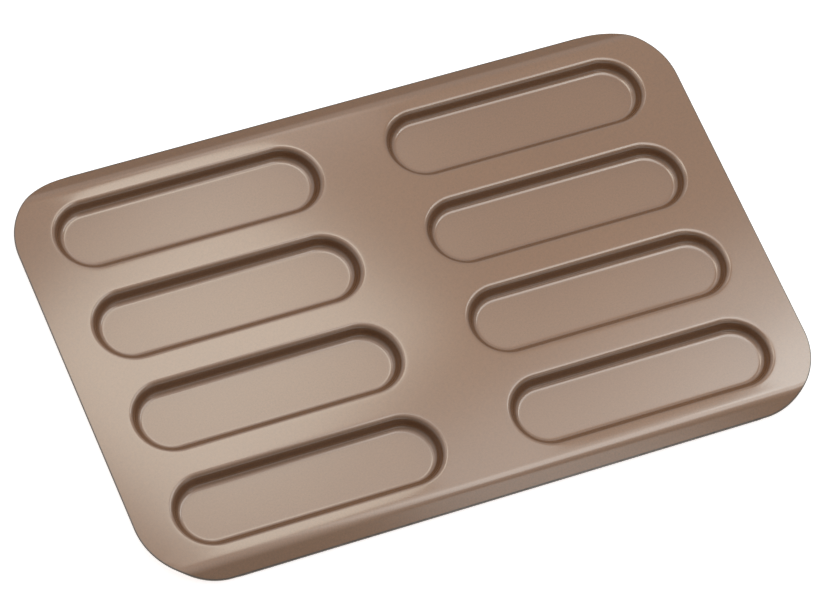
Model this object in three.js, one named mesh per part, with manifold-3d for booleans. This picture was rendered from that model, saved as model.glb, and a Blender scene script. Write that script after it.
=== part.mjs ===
// Eclair pan: one sheet of coated steel, with long round-ended cups pressed into it in two columns
// and its two long edges folded down. The sheet is modelled as its formed regions, which meet edge to edge:
// the flat deck, each cup with a narrow flat rim, and the front and rear flanges.
// Millimetres, +Z up, X along the long side. The pan stands on the undersides of its cup floors at z = 0.
import * as THREE from "three";
import Module from "manifold-3d";

// Sheet
const SHEET = 1.0;
const CORNER_RADIUS = 38.5;

// Cups, measured at the mouth, where the flat deck starts to roll over
const CUP_LENGTH = 148;
const CUP_WIDTH = 42.9;
const CUP_DEPTH = 6.7;
const WALL_ANGLE = 72;
const MOUTH_RADIUS = 3.65;
const FLOOR_RADIUS = 4.05;
const CUP_RIM = 1.5;

// Layout of the cups on the deck
const COLUMN_NAMES = ["left", "right"];
const CUPS_PER_COLUMN = 4;
const COLUMN_GAP = 35.65;
const ROW_GAP = 12.3;
const END_MARGIN = 19.175;
const SIDE_MARGIN = 7.35;

// Flanges, folded down along the two long sides
const FLANGE_RUN = 8.6;
const FLANGE_DROP = 4.25;
const BEND_RADIUS = 12;
const FLANGE_LAND = 1.6;

// Facets
const END_STEPS = 12;
const FILLET_STEPS = 4;
const CORNER_STEPS = 16;

// Sizes that follow from the values above
const COLUMN_PITCH = CUP_LENGTH + COLUMN_GAP;
const ROW_PITCH = CUP_WIDTH + ROW_GAP;
const PAN_LENGTH = COLUMN_NAMES.length * COLUMN_PITCH - COLUMN_GAP + 2 * END_MARGIN;
const CREASE_WIDTH = CUPS_PER_COLUMN * ROW_PITCH - ROW_GAP + 2 * SIDE_MARGIN;
const PAN_WIDTH = CREASE_WIDTH + 2 * FLANGE_RUN;
const DECK_TOP = CUP_DEPTH + SHEET;
const BEND_ANGLE = Math.atan2(FLANGE_DROP, FLANGE_RUN);
const BEND_TANGENT = BEND_RADIUS * Math.tan(BEND_ANGLE / 2);
const SEAM_Y = CREASE_WIDTH / 2 - BEND_TANGENT - FLANGE_LAND;
const RIM_RADIUS = CUP_WIDTH / 2 + CUP_RIM;
const CUP_STRAIGHT = CUP_LENGTH - CUP_WIDTH;

const wasm = await Module();
wasm.setup();

function toSolid(geometry) {
  const soup = geometry.index ? geometry.toNonIndexed() : geometry;
  const mesh = new wasm.Mesh({
    numProp: 3,
    vertProperties: new Float32Array(soup.attributes.position.array),
    triVerts: Uint32Array.from({ length: soup.attributes.position.count }, (_, i) => i),
  });
  mesh.merge();
  return new wasm.Manifold(mesh);
}

function toGeometry(solid) {
  const mesh = solid.getMesh();
  const geometry = new THREE.BufferGeometry();
  geometry.setAttribute("position", new THREE.BufferAttribute(mesh.vertProperties, 3));
  geometry.setIndex(new THREE.BufferAttribute(mesh.triVerts, 1));
  geometry.computeVertexNormals();
  return geometry;
}

// A round-ended outline around the origin, counter-clockwise, with its long side along X.
function stadium(radius) {
  const points = [];
  for (const side of [1, -1]) {
    for (let i = 0; i <= END_STEPS; i += 1) {
      const angle = ((side > 0 ? -0.5 : 0.5) + i / END_STEPS) * Math.PI;
      const x = (side * CUP_STRAIGHT) / 2 + radius * Math.cos(angle);
      points.push(new THREE.Vector2(x, radius * Math.sin(angle)));
    }
  }
  return points;
}

// The sheet's plan: a rectangle with round corners, counter-clockwise.
function planOutline() {
  const points = [];
  const corners = [[1, 1], [-1, 1], [-1, -1], [1, -1]];
  corners.forEach(([sx, sy], quarter) => {
    for (let i = 0; i <= CORNER_STEPS; i += 1) {
      const angle = ((quarter + i / CORNER_STEPS) * Math.PI) / 2;
      const x = sx * (PAN_LENGTH / 2 - CORNER_RADIUS) + CORNER_RADIUS * Math.cos(angle);
      const y = sy * (PAN_WIDTH / 2 - CORNER_RADIUS) + CORNER_RADIUS * Math.sin(angle);
      points.push(new THREE.Vector2(x, y));
    }
  });
  return points;
}

function cupCentres() {
  const centres = [];
  COLUMN_NAMES.forEach((column, c) => {
    for (let row = 0; row < CUPS_PER_COLUMN; row += 1) {
      const x = (c - (COLUMN_NAMES.length - 1) / 2) * COLUMN_PITCH;
      const y = ((CUPS_PER_COLUMN - 1) / 2 - row) * ROW_PITCH;
      centres.push({ name: `cup_${column}_${row + 1}`, x, y });
    }
  });
  return centres;
}

// One face of the pressed wall from rim to floor, as steps inwards and heights above the deck top.
// The offset is zero for the upper face and one sheet for the underside.
function wallProfile(offset) {
  const angle = THREE.MathUtils.degToRad(WALL_ANGLE);
  const filletDepth = (MOUTH_RADIUS + FLOOR_RADIUS) * (1 - Math.cos(angle));
  const fit = Math.min(1, CUP_DEPTH / filletDepth);
  const mouth = MOUTH_RADIUS * fit;
  const floor = FLOOR_RADIUS * fit;
  const straight = (CUP_DEPTH - filletDepth * fit) / Math.sin(angle);
  const inset = (mouth + floor) * Math.sin(angle) + straight * Math.cos(angle);
  const profile = [{ inwards: 0, height: -offset }];
  for (let i = 0; i <= FILLET_STEPS; i += 1) {
    const turn = (angle * i) / FILLET_STEPS;
    profile.push({
      inwards: CUP_RIM + (mouth - offset) * Math.sin(turn),
      height: -mouth + (mouth - offset) * Math.cos(turn),
    });
  }
  for (let i = FILLET_STEPS; i >= 0; i -= 1) {
    const turn = (angle * i) / FILLET_STEPS;
    profile.push({
      inwards: CUP_RIM + inset - (floor + offset) * Math.sin(turn),
      height: -CUP_DEPTH + floor - (floor + offset) * Math.cos(turn),
    });
  }
  return profile;
}

// A pressed cup, lofted from the middle of its floor out to the rim and back along its underside.
function cupGeometry() {
  const chain = [...wallProfile(0).reverse(), ...wallProfile(SHEET)];
  const rings = chain.map(({ inwards, height }) =>
    stadium(RIM_RADIUS - inwards).map((p) => new THREE.Vector3(p.x, p.y, DECK_TOP + height)));
  const count = rings[0].length;
  const positions = rings.flat().flatMap((p) => [p.x, p.y, p.z]);
  const index = [];
  for (let k = 0; k + 1 < rings.length; k += 1) {
    for (let j = 0; j < count; j += 1) {
      const next = (j + 1) % count;
      const [a, b] = [k * count + j, k * count + next];
      const [d, c] = [a + count, b + count];
      index.push(a, d, c, a, c, b);
    }
  }
  const last = (rings.length - 1) * count;
  for (const [a, b, c] of THREE.ShapeUtils.triangulateShape(stadium(RIM_RADIUS), [])) {
    index.push(a, b, c);
    index.push(last + a, last + c, last + b);
  }
  const geometry = new THREE.BufferGeometry();
  geometry.setAttribute("position", new THREE.Float32BufferAttribute(positions, 3));
  geometry.setIndex(index);
  geometry.computeVertexNormals();
  return geometry;
}

// The flat deck between the flanges, with a hole at each cup's rim.
function deckGeometry(centres) {
  const plan = new THREE.Shape(planOutline());
  for (const { x, y } of centres) {
    const hole = stadium(RIM_RADIUS).map((p) => new THREE.Vector2(p.x + x, p.y + y));
    plan.holes.push(new THREE.Path(hole));
  }
  const sheet = new THREE.ExtrudeGeometry(plan, { depth: SHEET, bevelEnabled: false });
  sheet.translate(0, 0, DECK_TOP - SHEET);
  const between = new THREE.BoxGeometry(2 * PAN_LENGTH, 2 * SEAM_Y, 4 * DECK_TOP);
  return toGeometry(toSolid(sheet).intersect(toSolid(between)));
}

// A folded long edge: a flat land, the bend and the sloping strip, trimmed to the sheet's plan.
function flangeGeometry(side) {
  const reach = FLANGE_RUN + SHEET;
  const face = (offset) => {
    const bendY = CREASE_WIDTH / 2 - BEND_TANGENT;
    const points = [new THREE.Vector2(SEAM_Y, DECK_TOP - offset)];
    for (let i = 0; i <= FILLET_STEPS; i += 1) {
      const turn = (BEND_ANGLE * i) / FILLET_STEPS;
      points.push(new THREE.Vector2(
        bendY + (BEND_RADIUS - offset) * Math.sin(turn),
        DECK_TOP - BEND_RADIUS + (BEND_RADIUS - offset) * Math.cos(turn),
      ));
    }
    const end = points[points.length - 1];
    points.push(new THREE.Vector2(
      end.x + reach * Math.cos(BEND_ANGLE),
      end.y - reach * Math.sin(BEND_ANGLE),
    ));
    return points;
  };
  const outline = [...face(0), ...face(SHEET).reverse()].map((p) => new THREE.Vector2(side * p.x, p.y));
  const strip = new THREE.ExtrudeGeometry(new THREE.Shape(outline), { depth: PAN_LENGTH, bevelEnabled: false });
  strip.translate(0, 0, -PAN_LENGTH / 2);
  const alongX = new THREE.Matrix4().makeBasis(
    new THREE.Vector3(0, 1, 0),
    new THREE.Vector3(0, 0, 1),
    new THREE.Vector3(1, 0, 0),
  );
  strip.applyMatrix4(alongX);
  const blank = new THREE.ExtrudeGeometry(new THREE.Shape(planOutline()), {
    depth: 4 * (DECK_TOP + FLANGE_DROP),
    bevelEnabled: false,
  });
  blank.translate(0, 0, -2 * (DECK_TOP + FLANGE_DROP));
  return toGeometry(toSolid(strip).intersect(toSolid(blank)));
}

const coating = new THREE.MeshStandardMaterial({
  name: "coated_steel",
  color: 0xb89a84,
  metalness: 0.8,
  roughness: 0.4,
});

function addPiece(group, name, geometry) {
  const piece = new THREE.Mesh(geometry, coating);
  piece.name = name;
  group.add(piece);
  return piece;
}

const pan = new THREE.Group();
pan.name = "eclair_pan";
const centres = cupCentres();
addPiece(pan, "deck", deckGeometry(centres));
for (const { name, x, y } of centres) {
  addPiece(pan, name, cupGeometry()).position.set(x, y, 0);
}
addPiece(pan, "front_flange", flangeGeometry(-1));
addPiece(pan, "rear_flange", flangeGeometry(1));

export default pan;
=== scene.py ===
# %% [markdown]
# # An eclair pan in Blender
#
# The object is a shallow baking pan: one sheet of steel with a satin champagne coating. Eight long cups
# with round ends are pressed into it, and its two long edges are folded down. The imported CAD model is
# loaded first as a fixed frame. Every piece made below stands in the same place as one region of that
# model, in metres.

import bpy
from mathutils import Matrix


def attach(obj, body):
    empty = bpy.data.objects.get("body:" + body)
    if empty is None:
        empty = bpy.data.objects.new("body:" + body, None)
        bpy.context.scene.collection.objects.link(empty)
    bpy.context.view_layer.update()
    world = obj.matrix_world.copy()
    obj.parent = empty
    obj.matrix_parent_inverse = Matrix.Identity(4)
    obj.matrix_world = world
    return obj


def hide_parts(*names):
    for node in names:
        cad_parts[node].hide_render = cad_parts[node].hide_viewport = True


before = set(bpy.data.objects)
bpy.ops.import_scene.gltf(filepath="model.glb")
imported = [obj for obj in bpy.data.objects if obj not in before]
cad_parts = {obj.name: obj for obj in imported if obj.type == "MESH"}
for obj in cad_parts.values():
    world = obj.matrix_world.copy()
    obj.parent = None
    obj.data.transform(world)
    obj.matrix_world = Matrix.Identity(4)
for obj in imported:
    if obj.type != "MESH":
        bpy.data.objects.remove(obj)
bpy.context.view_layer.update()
print("CAD nodes:", sorted(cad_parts))

# %% [markdown]
# ## Sizes
#
# The pan's sizes are repeated here in millimetres, because that is how a toolmaker would read them, and
# the factor MM turns them into Blender's metres. The mouth of a cup is where the flat deck starts to roll
# over.

# %% Sizes of the pan
import math

import bmesh
import bpy
from mathutils import Matrix, Vector
from mathutils.geometry import delaunay_2d_cdt

MM = 0.001
SHEET = 1.0
PAN_LENGTH, PAN_WIDTH, CORNER_RADIUS = 370.0, 240.4, 38.5
CUP_LENGTH, CUP_WIDTH, CUP_DEPTH = 148.0, 42.9, 6.7
WALL_ANGLE, MOUTH_RADIUS, FLOOR_RADIUS, CUP_RIM = math.radians(72), 3.65, 4.05, 1.5
ROWS, ROW_PITCH, COLUMN_PITCH = 4, 55.2, 183.65
FLANGE_RUN, FLANGE_DROP, BEND_RADIUS, FLANGE_LAND = 8.6, 4.25, 12.0, 1.6

DECK_TOP = CUP_DEPTH + SHEET
CORNER_X = PAN_LENGTH / 2 - CORNER_RADIUS
CORNER_Y = PAN_WIDTH / 2 - CORNER_RADIUS
CREASE_Y = PAN_WIDTH / 2 - FLANGE_RUN
BEND_ANGLE = math.atan2(FLANGE_DROP, FLANGE_RUN)
BEND_Y = CREASE_Y - BEND_RADIUS * math.tan(BEND_ANGLE / 2)
SEAM_Y = BEND_Y - FLANGE_LAND
RIM_RADIUS = CUP_WIDTH / 2 + CUP_RIM
CUP_STRAIGHT = CUP_LENGTH - CUP_WIDTH
OUTER_ROW_Y = (ROWS - 1) / 2 * ROW_PITCH
print("deck top at %.1f mm, flange seam at %.2f mm" % (DECK_TOP, SEAM_Y))

# %% [markdown]
# ## Camera
#
# The photograph was taken from above the front left corner with a long lens, and it was turned a little
# in its own plane. A camera could be aimed by eye, but a pan is all straight lines, which show a wrong
# angle at once. So the angles come from a fit to the pan's edges, and the camera's axes are built from
# them directly: right, up and back are the three columns of its rotation.

# %% Place the camera
AZIMUTH, ELEVATION, ROLL = math.radians(-36.785), math.radians(58.562), math.radians(16.532)
LENS, SENSOR = 220.13, 36.0
DISTANCE, SEES_TO = 2.6121, 50.0
TARGET = Vector((0.85 * MM, -4.42 * MM, DECK_TOP * MM))

back = Vector((math.sin(AZIMUTH) * math.cos(ELEVATION),
               -math.cos(AZIMUTH) * math.cos(ELEVATION),
               math.sin(ELEVATION)))
level_right = Vector((math.cos(AZIMUTH), math.sin(AZIMUTH), 0.0))
level_up = back.cross(level_right)
right = level_right * math.cos(ROLL) + level_up * math.sin(ROLL)
up = level_up * math.cos(ROLL) - level_right * math.sin(ROLL)

camera_data = bpy.data.cameras.new("photo_camera")
camera_data.sensor_fit = "HORIZONTAL"
camera_data.sensor_width = SENSOR
camera_data.lens = LENS
camera_data.clip_end = SEES_TO
camera = bpy.data.objects.new("photo_camera", camera_data)
bpy.context.scene.collection.objects.link(camera)
turned = Matrix((right, up, back)).transposed().to_4x4()
camera.matrix_world = Matrix.Translation(TARGET + back * DISTANCE) @ turned
bpy.context.scene.camera = camera
print("camera stands", [round(v, 3) for v in camera.matrix_world.translation])

# %% [markdown]
# ## The coating
#
# The finish is a baked non-stick coat with fine metal flakes in a brown binder. Seen from a step away it
# is a satin champagne colour: a broad warm sheen from the flakes, and over it a paler, sharper one from
# the clear binder. One Principled shader holds both. Its metallic base is the flake layer, and its coat
# is the binder. Noise textures in object coordinates give the flakes their speckle, the coat its slight
# orange peel and the colour a faint cloudiness. A photo texture could show the same, but noise has no
# seams and no resolution.
#
# Two more marks are in the material. The cut edge is painted darker, with a thinner coat: painted shade
# that stands for the dark room the edge mirrors and the shadow beneath it. Where that is follows from the
# place alone: the distance from the sheet's outline, a rectangle with round corners, takes four vector
# nodes. The flat cup floors, which the punch has stretched, are a little duller. Nodes could change the
# gloss by height, but an export drops a coat roughness that comes from nodes. So the floors get a second
# material from the same function, with another number on the shader's own socket.

# %% Node helpers
def fill_inputs(tree, node, inputs):
    """Link each input that is given an output of another node, and set the others to the value given."""
    for key, value in inputs.items():
        if isinstance(value, bpy.types.NodeSocket):
            tree.links.new(value, node.inputs[key])
        else:
            node.inputs[key].default_value = value


def add_node(tree, kind, inputs, **settings):
    node = tree.nodes.new(kind)
    for key, value in settings.items():
        setattr(node, key, value)
    fill_inputs(tree, node, inputs)
    return node


def vector_math(tree, operation, *values):
    return add_node(tree, "ShaderNodeVectorMath", dict(enumerate(values)), operation=operation).outputs


def mapped(tree, value, low, high, to_low, to_high):
    ends = {"From Min": low, "From Max": high, "To Min": to_low, "To Max": to_high}
    return add_node(tree, "ShaderNodeMapRange", {"Value": value, **ends}).outputs["Result"]


def mixed(tree, blend, factor, first, second):
    inputs = {"Factor": factor, "A": first, "B": second}
    return add_node(tree, "ShaderNodeMix", inputs, data_type="RGBA", blend_type=blend).outputs["Result"]


def noise(tree, coords, scale, detail, roughness):
    inputs = {"Vector": coords, "Scale": scale, "Detail": detail, "Roughness": roughness}
    return add_node(tree, "ShaderNodeTexNoise", inputs).outputs["Fac"]


print("node helpers ready")

# %% Cut edge, painted darker as shade
# Painted shade: a band along the cut edge is darkened to stand for the dark the edge mirrors and the
# shadow under it.
EDGE_SHADE_WIDTH, EDGE_SHADE_FADE = 0.4, 0.4
# Far above the pan, so that what is left of the height is below zero and drops out.
ABOVE_ALL = 1.0


def painted_edge_shade(tree, coords):
    """Painted shade mask: one at the sheet's cut edge, and zero a little inside it, whatever the height.
    """
    folded = vector_math(tree, "ABSOLUTE", coords)["Vector"]
    past = vector_math(tree, "SUBTRACT", folded, (CORNER_X * MM, CORNER_Y * MM, ABOVE_ALL))["Vector"]
    ahead = vector_math(tree, "MAXIMUM", past, (0.0, 0.0, 0.0))["Vector"]
    reach = vector_math(tree, "LENGTH", ahead)["Value"]
    shade_from = CORNER_RADIUS - EDGE_SHADE_WIDTH
    return mapped(tree, reach, (shade_from - EDGE_SHADE_FADE) * MM, shade_from * MM, 0.0, 1.0)


print("the edge is dark for %.1f mm" % EDGE_SHADE_WIDTH)

# %% Champagne coat
# Scale per metre, detail and roughness of each noise.
CLOUD, FLAKES, PEEL = (14.0, 3.0, 0.5), (1100.0, 2.0, 0.7), (420.0, 2.0, 0.5)
# A range of the noise, and the range that it becomes.
CLOUD_SHARE = (0.3, 0.7, 0.0, 1.0)
SPECKLE, FLAKE_ROUGHNESS = (0.25, 0.75, 0.80, 1.20), (0.3, 0.7, 0.56, 0.66)
DEEP_BROWN, PALE_BROWN = (0.277, 0.122, 0.036, 1.0), (0.297, 0.134, 0.042, 1.0)
# Painted shade at the cut edge: a darker brown, and a thinner coat that mirrors less.
EDGE_SHADE_BROWN, EDGE_SHADE_COAT = (0.140, 0.105, 0.075, 1.0), 0.6
PEEL_STRENGTH, PEEL_HEIGHT = 0.10, 0.05
COAT_IOR, SATIN, DULL = 2.32, 0.16, 0.235


def make_coat(name, coat_roughness):
    material = bpy.data.materials.new(name)
    material.use_nodes = True
    tree = material.node_tree
    coords = tree.nodes.new("ShaderNodeTexCoord").outputs["Object"]
    flakes = noise(tree, coords, *FLAKES)
    # Where the painted shade of the cut edge lies.
    edge_shade = painted_edge_shade(tree, coords)
    cloudy = mapped(tree, noise(tree, coords, *CLOUD), *CLOUD_SHARE)
    brown = mixed(tree, "MIX", cloudy, DEEP_BROWN, PALE_BROWN)
    speckled = mixed(tree, "MULTIPLY", 1.0, brown, mapped(tree, flakes, *SPECKLE))
    bump = {"Strength": PEEL_STRENGTH, "Distance": PEEL_HEIGHT * MM, "Height": noise(tree, coords, *PEEL)}
    peel = add_node(tree, "ShaderNodeBump", bump).outputs["Normal"]
    fill_inputs(tree, tree.nodes["Principled BSDF"], {
        "Base Color": mixed(tree, "MIX", edge_shade, speckled, EDGE_SHADE_BROWN),
        "Metallic": 1.0,
        "Roughness": mapped(tree, flakes, *FLAKE_ROUGHNESS),
        "Normal": peel,
        "Coat Weight": mapped(tree, edge_shade, 0.0, 1.0, 1.0, EDGE_SHADE_COAT),
        "Coat Roughness": coat_roughness,
        "Coat IOR": COAT_IOR,
        "Coat Normal": peel,
    })
    return material


champagne = make_coat("champagne_coat", SATIN)
champagne_floor = make_coat("champagne_coat_floor", DULL)
for coat in (champagne, champagne_floor):
    print("material", coat.name, "with", len(coat.node_tree.nodes), "nodes")

# %% [markdown]
# ## From points to a finished piece
#
# Each region of the sheet is a closed mesh: an upper face, an underside one sheet below it and a wall all
# round. One helper turns points and faces into an object, softens the cut edges that show and hands the
# piece to the frame. The soft edges are a small bevel on chosen edges only: a sheared and coated edge is
# never knife-sharp, but where two regions of the sheet meet there is no edge at all, so those stay square
# and hidden.
#
# The press leaves one more mark. The narrow strips between the outer cups and the folds are not quite
# flat: they dip towards the mouths by about a quarter of a millimetre. That is hardly a shape, but a
# mirror shows it. So every point passes through a small function of its place in the sheet, which lowers
# both faces there together.

# %% Dip of the outer strips
DIP_DEPTH, DIP_REACH, DIP_FADE = 0.24, 5.0, 38.0
DIP_FROM, DIP_FULL = 2 * SHEET, DECK_TOP - SHEET
OUTER_MOUTH_Y = OUTER_ROW_Y + CUP_WIDTH / 2


def clamped(value):
    return min(1.0, max(0.0, value))


def ease(value):
    """A step from zero to one that is level at both ends."""
    t = clamped(value)
    return t * t * (3 - 2 * t)


def dipped(x, y, z):
    """Height of a point of the sheet, lowered where a strip beside a fold dips towards an outer cup."""
    past_mouth = clamped((abs(y) - OUTER_MOUTH_Y) / DIP_REACH)
    depth = DIP_DEPTH * (1 - 1.5 * past_mouth + 0.5 * past_mouth ** 3)
    beside_cup = ease((CUP_LENGTH / 2 - abs(abs(x) - COLUMN_PITCH / 2)) / DIP_FADE)
    outer_side = ease((abs(y) - OUTER_ROW_Y) / (CUP_WIDTH / 2))
    above_floor = clamped((z - DIP_FROM) / (DIP_FULL - DIP_FROM))
    return z - depth * beside_cup * outer_side * above_floor


print("lowest lip at %.2f mm" % dipped(COLUMN_PITCH / 2, OUTER_MOUTH_Y, DECK_TOP))

# %% Piece helper
EDGE_ROUND, EDGE_SEGMENTS, ROUND_PROFILE = 0.45, 3, 0.5
SHARP_ANGLE = math.radians(40)


def make_piece(node, points, faces, cut_edges=()):
    """Turn points in millimetres and faces into the piece that stands for one CAD node."""
    mesh = bpy.data.meshes.new("pan_" + node)
    mesh.from_pydata([(x * MM, y * MM, dipped(x, y, z) * MM) for x, y, z in points], [], faces)
    bm = bmesh.new()
    bm.from_mesh(mesh)
    bmesh.ops.recalc_face_normals(bm, faces=bm.faces)
    bm.verts.ensure_lookup_table()
    edges = [bm.edges.get((bm.verts[a], bm.verts[b])) for a, b in cut_edges]
    if edges:
        bmesh.ops.bevel(bm, geom=edges, offset=EDGE_ROUND * MM, segments=EDGE_SEGMENTS,
                        profile=ROUND_PROFILE, affect="EDGES")
    # A bevel can lift a point by a hair, and nothing may stand above the deck.
    for vertex in bm.verts:
        vertex.co.z = min(vertex.co.z, DECK_TOP * MM)
    bm.normal_update()
    for face in bm.faces:
        face.smooth = True
    for edge in bm.edges:
        edge.smooth = edge.calc_face_angle(0.0) < SHARP_ANGLE
    bm.to_mesh(mesh)
    bm.free()
    mesh.materials.append(champagne)
    piece = bpy.data.objects.new("pan_" + node, mesh)
    bpy.context.scene.collection.objects.link(piece)
    weighted = piece.modifiers.new("flat_faces_stay_flat", "WEIGHTED_NORMAL")
    weighted.keep_sharp = True
    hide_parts(node)
    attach(piece, "root")
    return piece


print("cut edges are rounded to %.2f mm" % EDGE_ROUND)

# %% [markdown]
# ## The cups
#
# A press punch makes all eight cups alike: a flat floor with round ends, a sloping wall, and a smooth
# roll at the floor and at the mouth. A boolean cut with bevels could give that shape, but its rows of
# faces would be uneven, and a shiny surface shows it. In plan every height of the wall is the same
# round-ended outline, only wider or narrower, so the cup is a loft: the wall's profile is written once,
# as steps inwards and heights, and each step becomes a ring. The underside uses the same profile, one
# sheet thickness along its normal. The straight sides have points along their length too, so that the
# outer cups can follow the dip of the strips beside them.

# %% Outline and wall profile of a cup
END_STEPS, STRAIGHT_STEPS, FILLET_STEPS = 40, 18, 10
# A narrow flat ring inside the roll, so that the floor is shaded flat up to its edge.
FLOOR_BORDER = 1.0


def stadium(radius):
    """A round-ended outline about the origin, with its long side along X."""
    points = []
    for side in (1, -1):
        for i in range(END_STEPS + 1):
            angle = (-0.5 * side + i / END_STEPS) * math.pi
            points.append((side * CUP_STRAIGHT / 2 + radius * math.cos(angle), radius * math.sin(angle)))
        for i in range(1, STRAIGHT_STEPS):
            points.append((side * CUP_STRAIGHT * (0.5 - i / STRAIGHT_STEPS), side * radius))
    return points


def wall_profile(offset):
    """Steps inwards from the rim and heights above the deck top, for one face of the sheet."""
    fillets = (MOUTH_RADIUS + FLOOR_RADIUS) * (1 - math.cos(WALL_ANGLE))
    straight = (CUP_DEPTH - fillets) / math.sin(WALL_ANGLE)
    inset = (MOUTH_RADIUS + FLOOR_RADIUS) * math.sin(WALL_ANGLE) + straight * math.cos(WALL_ANGLE)
    turns = [WALL_ANGLE * i / FILLET_STEPS for i in range(FILLET_STEPS + 1)]
    mouth = [(CUP_RIM + (MOUTH_RADIUS - offset) * math.sin(t),
              (MOUTH_RADIUS - offset) * math.cos(t) - MOUTH_RADIUS) for t in turns]
    floor = [(CUP_RIM + inset - (FLOOR_RADIUS + offset) * math.sin(t),
              FLOOR_RADIUS - CUP_DEPTH - (FLOOR_RADIUS + offset) * math.cos(t)) for t in reversed(turns)]
    border = (CUP_RIM + inset + FLOOR_BORDER, -CUP_DEPTH - offset)
    return [(0.0, -offset)] + mouth + floor + [border]


print("wall runs in by %.2f mm" % (wall_profile(0.0)[-2][0] - CUP_RIM))

# %% Make the eight cups
FLAT_WITHIN = 0.01


def dull_floor(cup):
    """Give the flat floor of a cup its duller coat. Its upper face lies one sheet above the table."""
    cup.data.materials.append(champagne_floor)
    for face in cup.data.polygons:
        highest = max(cup.data.vertices[v].co.z for v in face.vertices)
        if highest < (SHEET + FLAT_WITHIN) * MM:
            face.material_index = 1


def make_cup(node, x, y):
    chain = list(reversed(wall_profile(0.0))) + wall_profile(SHEET)
    rings = [[(x + px, y + py, DECK_TOP + height) for px, py in stadium(RIM_RADIUS - inwards)]
             for inwards, height in chain]
    count = len(rings[0])
    last = (len(rings) - 1) * count
    faces = [tuple(range(count)), tuple(reversed(range(last, last + count)))]
    for first in range(0, last, count):
        for j in range(count):
            a, b = first + j, first + (j + 1) % count
            faces.append((a, a + count, b + count, b))
    cup = make_piece(node, [p for ring in rings for p in ring], faces)
    dull_floor(cup)
    return cup


cup_centres = {}
for column, sign in (("left", -1), ("right", 1)):
    for row in range(ROWS):
        y = ((ROWS - 1) / 2 - row) * ROW_PITCH
        cup_centres["cup_%s_%d" % (column, row + 1)] = (sign * COLUMN_PITCH / 2, y)
cups = [make_cup(node, x, y) for node, (x, y) in cup_centres.items()]
print(len(cups), "cups of", len(cups[0].data.polygons), "faces")

# %% [markdown]
# ## The deck
#
# The deck is the flat of the sheet that is left between the cups and the folds. A boolean could punch the
# holes, but the outline and the eight rims are already known as points. A triangulation with fixed
# borders joins them and keeps those loops. The outline has no hollow, so only the triangles inside a rim
# have to go, and the deck's rims share every point with the cups.

# %% Plan of the sheet
CORNER_STEPS, ALONG_STEPS = 32, 60
LEAST_STEP = 0.1


def corner_x(y):
    """Half the sheet's length at y across it, which gets less along the corner's arc."""
    rise = min(CORNER_RADIUS, max(0.0, abs(y) - CORNER_Y))
    return CORNER_X + math.sqrt(CORNER_RADIUS ** 2 - rise ** 2)


def arc_rows(y_from):
    """Places across the sheet at equal steps round the corner's arc, from y_from to the cut edge."""
    start = math.asin((y_from - CORNER_Y) / CORNER_RADIUS)
    steps = [start + (math.pi / 2 - start) * i / CORNER_STEPS for i in range(CORNER_STEPS + 1)]
    return [CORNER_Y + CORNER_RADIUS * math.sin(a) for a in steps]


side_rows = [y for y in arc_rows(CORNER_Y) if y < SEAM_Y - LEAST_STEP] + [SEAM_Y]
seam_xs = [(1 - 2 * i / ALONG_STEPS) * corner_x(SEAM_Y) for i in range(1, ALONG_STEPS)]
right_side = [(corner_x(y), -y) for y in reversed(side_rows)] + [(corner_x(y), y) for y in side_rows]
left_side = [(-x, -y) for x, y in right_side]
deck_outline = (right_side + [(x, SEAM_Y) for x in seam_xs]
                + left_side + [(x, -SEAM_Y) for x in reversed(seam_xs)])
print("deck outline has", len(deck_outline), "points")

# %% Triangles of the deck
# The kind of result that keeps every triangle, and how near two places count as one.
WHOLE_AREA, CLOSE = 0, 1e-6

flat_points, borders = [], []
rims = [[(x + px, y + py) for px, py in stadium(RIM_RADIUS)] for x, y in cup_centres.values()]
for loop in [deck_outline] + rims:
    first = len(flat_points)
    flat_points += [Vector(p) for p in loop]
    borders += [(first + i, first + (i + 1) % len(loop)) for i in range(len(loop))]
filled, _, triangles, origin, _, _ = delaunay_2d_cdt(flat_points, borders, [], WHOLE_AREA, CLOSE)


def inside_a_rim(triangle):
    middle = sum((filled[v] for v in triangle), Vector((0, 0))) / 3
    return any(math.hypot(max(0.0, abs(middle.x - x) - CUP_STRAIGHT / 2), middle.y - y) < RIM_RADIUS
               for x, y in cup_centres.values())


upper_faces = [tuple(origin[v][0] for v in t) for t in triangles if not inside_a_rim(t)]
print(len(upper_faces), "of", len(triangles), "triangles are sheet")

# %% Make the deck
below = len(flat_points)
deck_points = [(p.x, p.y, height) for height in (DECK_TOP, DECK_TOP - SHEET) for p in flat_points]
deck_faces = upper_faces + [tuple(v + below for v in reversed(t)) for t in upper_faces]
deck_faces += [(a, a + below, b + below, b) for a, b in borders]
seam = {i for i, p in enumerate(deck_outline) if abs(abs(p[1]) - SEAM_Y) < CLOSE}
trimmed = [(a, b) for a, b in borders[:len(deck_outline)] if not (a in seam and b in seam)]
deck_cuts = trimmed + [(a + below, b + below) for a, b in trimmed]
deck = make_piece("deck", deck_points, deck_faces, deck_cuts)
print("deck of", len(deck.data.polygons), "faces,", len(deck_cuts), "cut edges")

# %% [markdown]
# ## The flanges
#
# Each long edge of the sheet is folded down by about twenty-six degrees over a soft bend, and the fold
# runs straight out through the round corners. A Simple Deform modifier could bend a flat strip, but the
# radius and the place of the bend are known here, and a formula keeps them exactly. In plan the flange is
# a narrow strip with curved ends, so it is a grid: rows lie along the strip, first at even steps over the
# land and the bend and then at even steps round the corner's arc, and each row is as long as the sheet is
# there. The heights of both faces follow from the row alone. Even steps matter here: rows of unequal
# width would show as streaks in the reflection.

# %% Section of a flange
BEND_STEPS = 14


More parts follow.
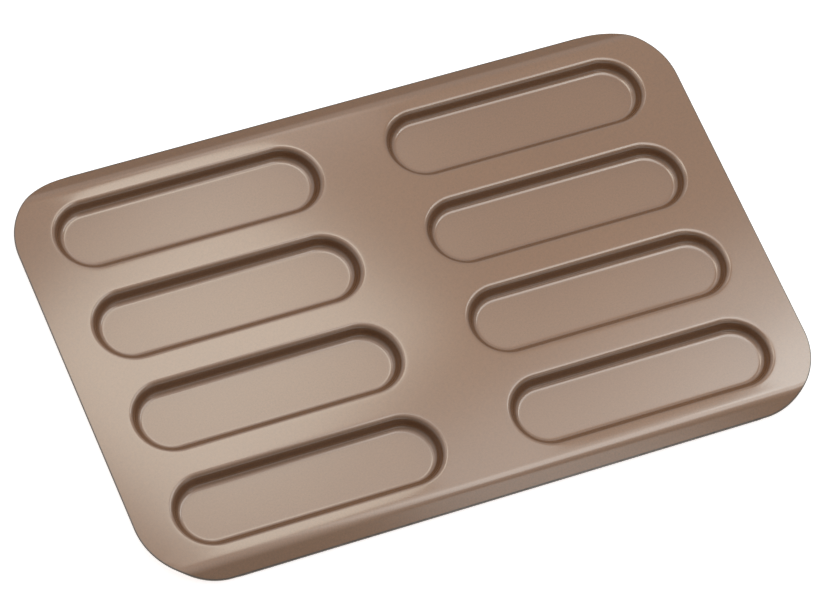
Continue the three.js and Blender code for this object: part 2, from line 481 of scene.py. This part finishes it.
def sheet_height(y, offset):
    """Height of the folded sheet's upper face, or of its underside, at y across it."""
    radius = BEND_RADIUS - offset
    run = min(max(0.0, y - BEND_Y), radius * math.sin(BEND_ANGLE))
    bent = DECK_TOP - BEND_RADIUS + math.sqrt(radius ** 2 - run ** 2)
    return bent - max(0.0, y - BEND_Y - run) * math.tan(BEND_ANGLE)


def flange_rows():
    bend_end = BEND_Y + BEND_RADIUS * math.sin(BEND_ANGLE)
    bend = [SEAM_Y + (bend_end - SEAM_Y) * i / BEND_STEPS for i in range(BEND_STEPS)]
    return bend + arc_rows(bend_end)


print("flanges drop to %.2f mm" % sheet_height(PAN_WIDTH / 2, SHEET))

# %% Make the two flanges
def make_flange(node, side):
    rows = flange_rows()
    wide = ALONG_STEPS + 1
    below = len(rows) * wide
    points = [((2 * i / ALONG_STEPS - 1) * corner_x(y), side * y, sheet_height(y, offset))
              for offset in (0.0, SHEET) for y in rows for i in range(wide)]
    faces = []
    for k in range(len(rows) - 1):
        for i in range(ALONG_STEPS):
            a = k * wide + i
            faces.append((a, a + 1, a + 1 + wide, a + wide))
            faces.append((a + below + wide, a + 1 + wide + below, a + 1 + below, a + below))
    inner, outer = range(wide), range(below - wide, below)
    left_end, right_end = range(0, below, wide), range(ALONG_STEPS, below, wide)
    for line in (left_end, right_end, outer, inner):
        faces += [(a, b, b + below, a + below) for a, b in zip(line, line[1:])]
    cuts = [pair for line in (left_end, right_end, outer) for pair in zip(line, line[1:])]
    cuts += [(a + below, b + below) for a, b in cuts]
    return make_piece(node, points, faces, cuts)


for node, side in (("front_flange", -1), ("rear_flange", 1)):
    flange = make_flange(node, side)
    print(flange.name, "of", len(flange.data.polygons), "faces")

# %% [markdown]
# ## Floor
#
# The pan lies on a plain white surface. It is a large plane with a matt white material. A brighter lamp
# could make it white, but would also bleach the pan. So the plane glows a little instead, only for rays
# that come from the camera, from a reflection or through glass. The soft shadow under the pan stays,
# because the glow alone falls short of white.

# %% White floor
TABLE_HALF, TABLE_GAP = 20.0, 0.0002
TABLE_WHITE, TABLE_GLOW = (0.86, 0.86, 0.86, 1.0), 0.75


def scalar_math(tree, operation, *values):
    return add_node(tree, "ShaderNodeMath", dict(enumerate(values)), operation=operation).outputs["Value"]


def make_floor_material():
    material = bpy.data.materials.new("white_table")
    material.use_nodes = True
    tree = material.node_tree
    tree.nodes.clear()
    rays = tree.nodes.new("ShaderNodeLightPath").outputs
    shown = rays["Is Camera Ray"]
    for ray in ("Is Glossy Ray", "Is Transmission Ray"):
        shown = scalar_math(tree, "MAXIMUM", shown, rays[ray])
    strength = scalar_math(tree, "MULTIPLY", shown, TABLE_GLOW)
    glow = add_node(tree, "ShaderNodeEmission", {"Strength": strength}).outputs["Emission"]
    white = add_node(tree, "ShaderNodeBsdfDiffuse", {"Color": TABLE_WHITE}).outputs["BSDF"]
    both = add_node(tree, "ShaderNodeAddShader", {0: white, 1: glow}).outputs["Shader"]
    add_node(tree, "ShaderNodeOutputMaterial", {"Surface": both})
    return material


floor_mesh = bpy.data.meshes.new("table")
corners = [(sx * TABLE_HALF, sy * TABLE_HALF, 0) for sx, sy in ((-1, -1), (1, -1), (1, 1), (-1, 1))]
floor_mesh.from_pydata(corners, [], [(0, 1, 2, 3)])
floor_mesh.materials.append(make_floor_material())
table = bpy.data.objects.new("table", floor_mesh)
table.location.z = -TABLE_GAP
bpy.context.scene.collection.objects.link(table)
print("floor of %.0f m" % (2 * TABLE_HALF))

# %% [markdown]
# ## Light
#
# The pan is mostly a mirror, only a soft one, so its tones are pictures of the room. A photographed room
# could be wrapped round it, but a room built from a few lights can be changed one tone at a time. The
# flat deck sees the space above and behind it, the far walls of the cups see the room low in front, and
# that is dark. The world is therefore a dome that is dark near the horizon and soft grey above, and
# brighter at the back than in front.
#
# The softboxes hang level at about the same height, where each can be thought of as a bright patch in
# that picture. Three of them stand where the flat deck mirrors them: one for the pale left half, one for
# the front right corner, and a weak wide one of which only the deck's front strip sees a part. The others
# are almost out of the deck's sight and show in what is tilted: the lips and the rounded floor edges of
# the cups, the folds and the flanges. Patches that overlap have slightly different heights, because two
# lights in exactly one plane hide each other. Places and sizes are in metres. The power follows from the
# brightness and the area, so a patch keeps its tone when its size is changed.

# %% Dome of the studio
# Grey at each height above the horizon, which is the sine of the angle.
DOME_GREYS = ((0.0, 0.09), (0.27, 0.30), (0.38, 0.45), (0.57, 0.508), (0.85, 0.495), (1.0, 0.868))
DOME_LEAN = (0.128, 0.564, 0.0)


def make_dome():
    world = bpy.data.worlds.new("studio")
    bpy.context.scene.world = world
    world.use_nodes = True
    tree = world.node_tree
    direction = tree.nodes.new("ShaderNodeTexCoord").outputs["Generated"]
    height = add_node(tree, "ShaderNodeSeparateXYZ", {"Vector": direction}).outputs["Z"]
    ramp = add_node(tree, "ShaderNodeValToRGB", {"Fac": height})
    stops = ramp.color_ramp.elements
    for place, _ in DOME_GREYS[1:-1]:
        stops.new(place)
    for stop, (_, grey) in zip(stops, DOME_GREYS):
        stop.color = (grey, grey, grey, 1.0)
    lean = vector_math(tree, "DOT_PRODUCT", direction, DOME_LEAN)["Value"]
    one_and_lean = mapped(tree, lean, -1.0, 1.0, 0.0, 2.0)
    lit = {"Color": ramp.outputs["Color"], "Strength": one_and_lean}
    fill_inputs(tree, tree.nodes["Background"], lit)
    return world


dome = make_dome()
print("world", dome.name, "with", len(DOME_GREYS), "greys")

# %% Softboxes
WARM, COOL, NEUTRAL = (1.0, 0.99, 0.875), (0.935, 1.0, 0.98), (1.0, 1.0, 0.97)


def make_softbox(name, centre, size, turn, brightness, colour):
    """A level light that faces down, turned by some degrees about the vertical."""
    light = bpy.data.lights.new(name, "AREA")
    light.shape = "RECTANGLE"
    light.size, light.size_y = size
    light.energy = brightness * math.pi * size[0] * size[1]
    light.color = colour
    lamp = bpy.data.objects.new(name, light)
    bpy.context.scene.collection.objects.link(lamp)
    lamp.location = centre
    lamp.rotation_euler = (0.0, 0.0, math.radians(turn))
    print("%s shines with %.2f W" % (name, light.energy))


# Seen by the flat deck: the pale left half and the front right corner.
make_softbox("window_softbox", (0.075, 0.292, 0.605), (0.23, 0.20), 29, 1.71, WARM)
make_softbox("corner_softbox", (0.446, 0.155, 0.610), (0.19, 0.083), 23, 1.70, COOL)
# Seen by the front strip of the deck and by everything that leans forwards a little.
make_softbox("front_softbox", (0.302, 0.046, 0.600), (0.456, 0.34), 16, 0.78, COOL)
# Seen in the far lips and floor edges of the cups.
make_softbox("lip_softbox", (0.31, -0.02, 0.590), (0.34, 0.24), 14, 0.60, NEUTRAL)
# Seen in the cup walls and in the front flange.
make_softbox("low_softbox", (0.35, -1.20, 0.600), (1.40, 0.70), 0, 0.30, NEUTRAL)
make_softbox("strip_softbox", (0.283, -0.457, 0.600), (0.25, 0.084), -21, 0.85, NEUTRAL)
# Seen in the rear fold, on the left.
make_softbox("back_softbox", (0.18, 0.57, 0.615), (0.17, 0.28), 0, 0.72, NEUTRAL)
# Seen in the right ends of the cups.
make_softbox("left_softbox", (-0.22, 0.30, 0.600), (0.22, 0.36), 0, 0.60, NEUTRAL)

# %% [markdown]
# ## Last settings
#
# The Standard view transform shows colours as they were chosen.

# %% Finish
bpy.context.scene.view_settings.view_transform = "Standard"
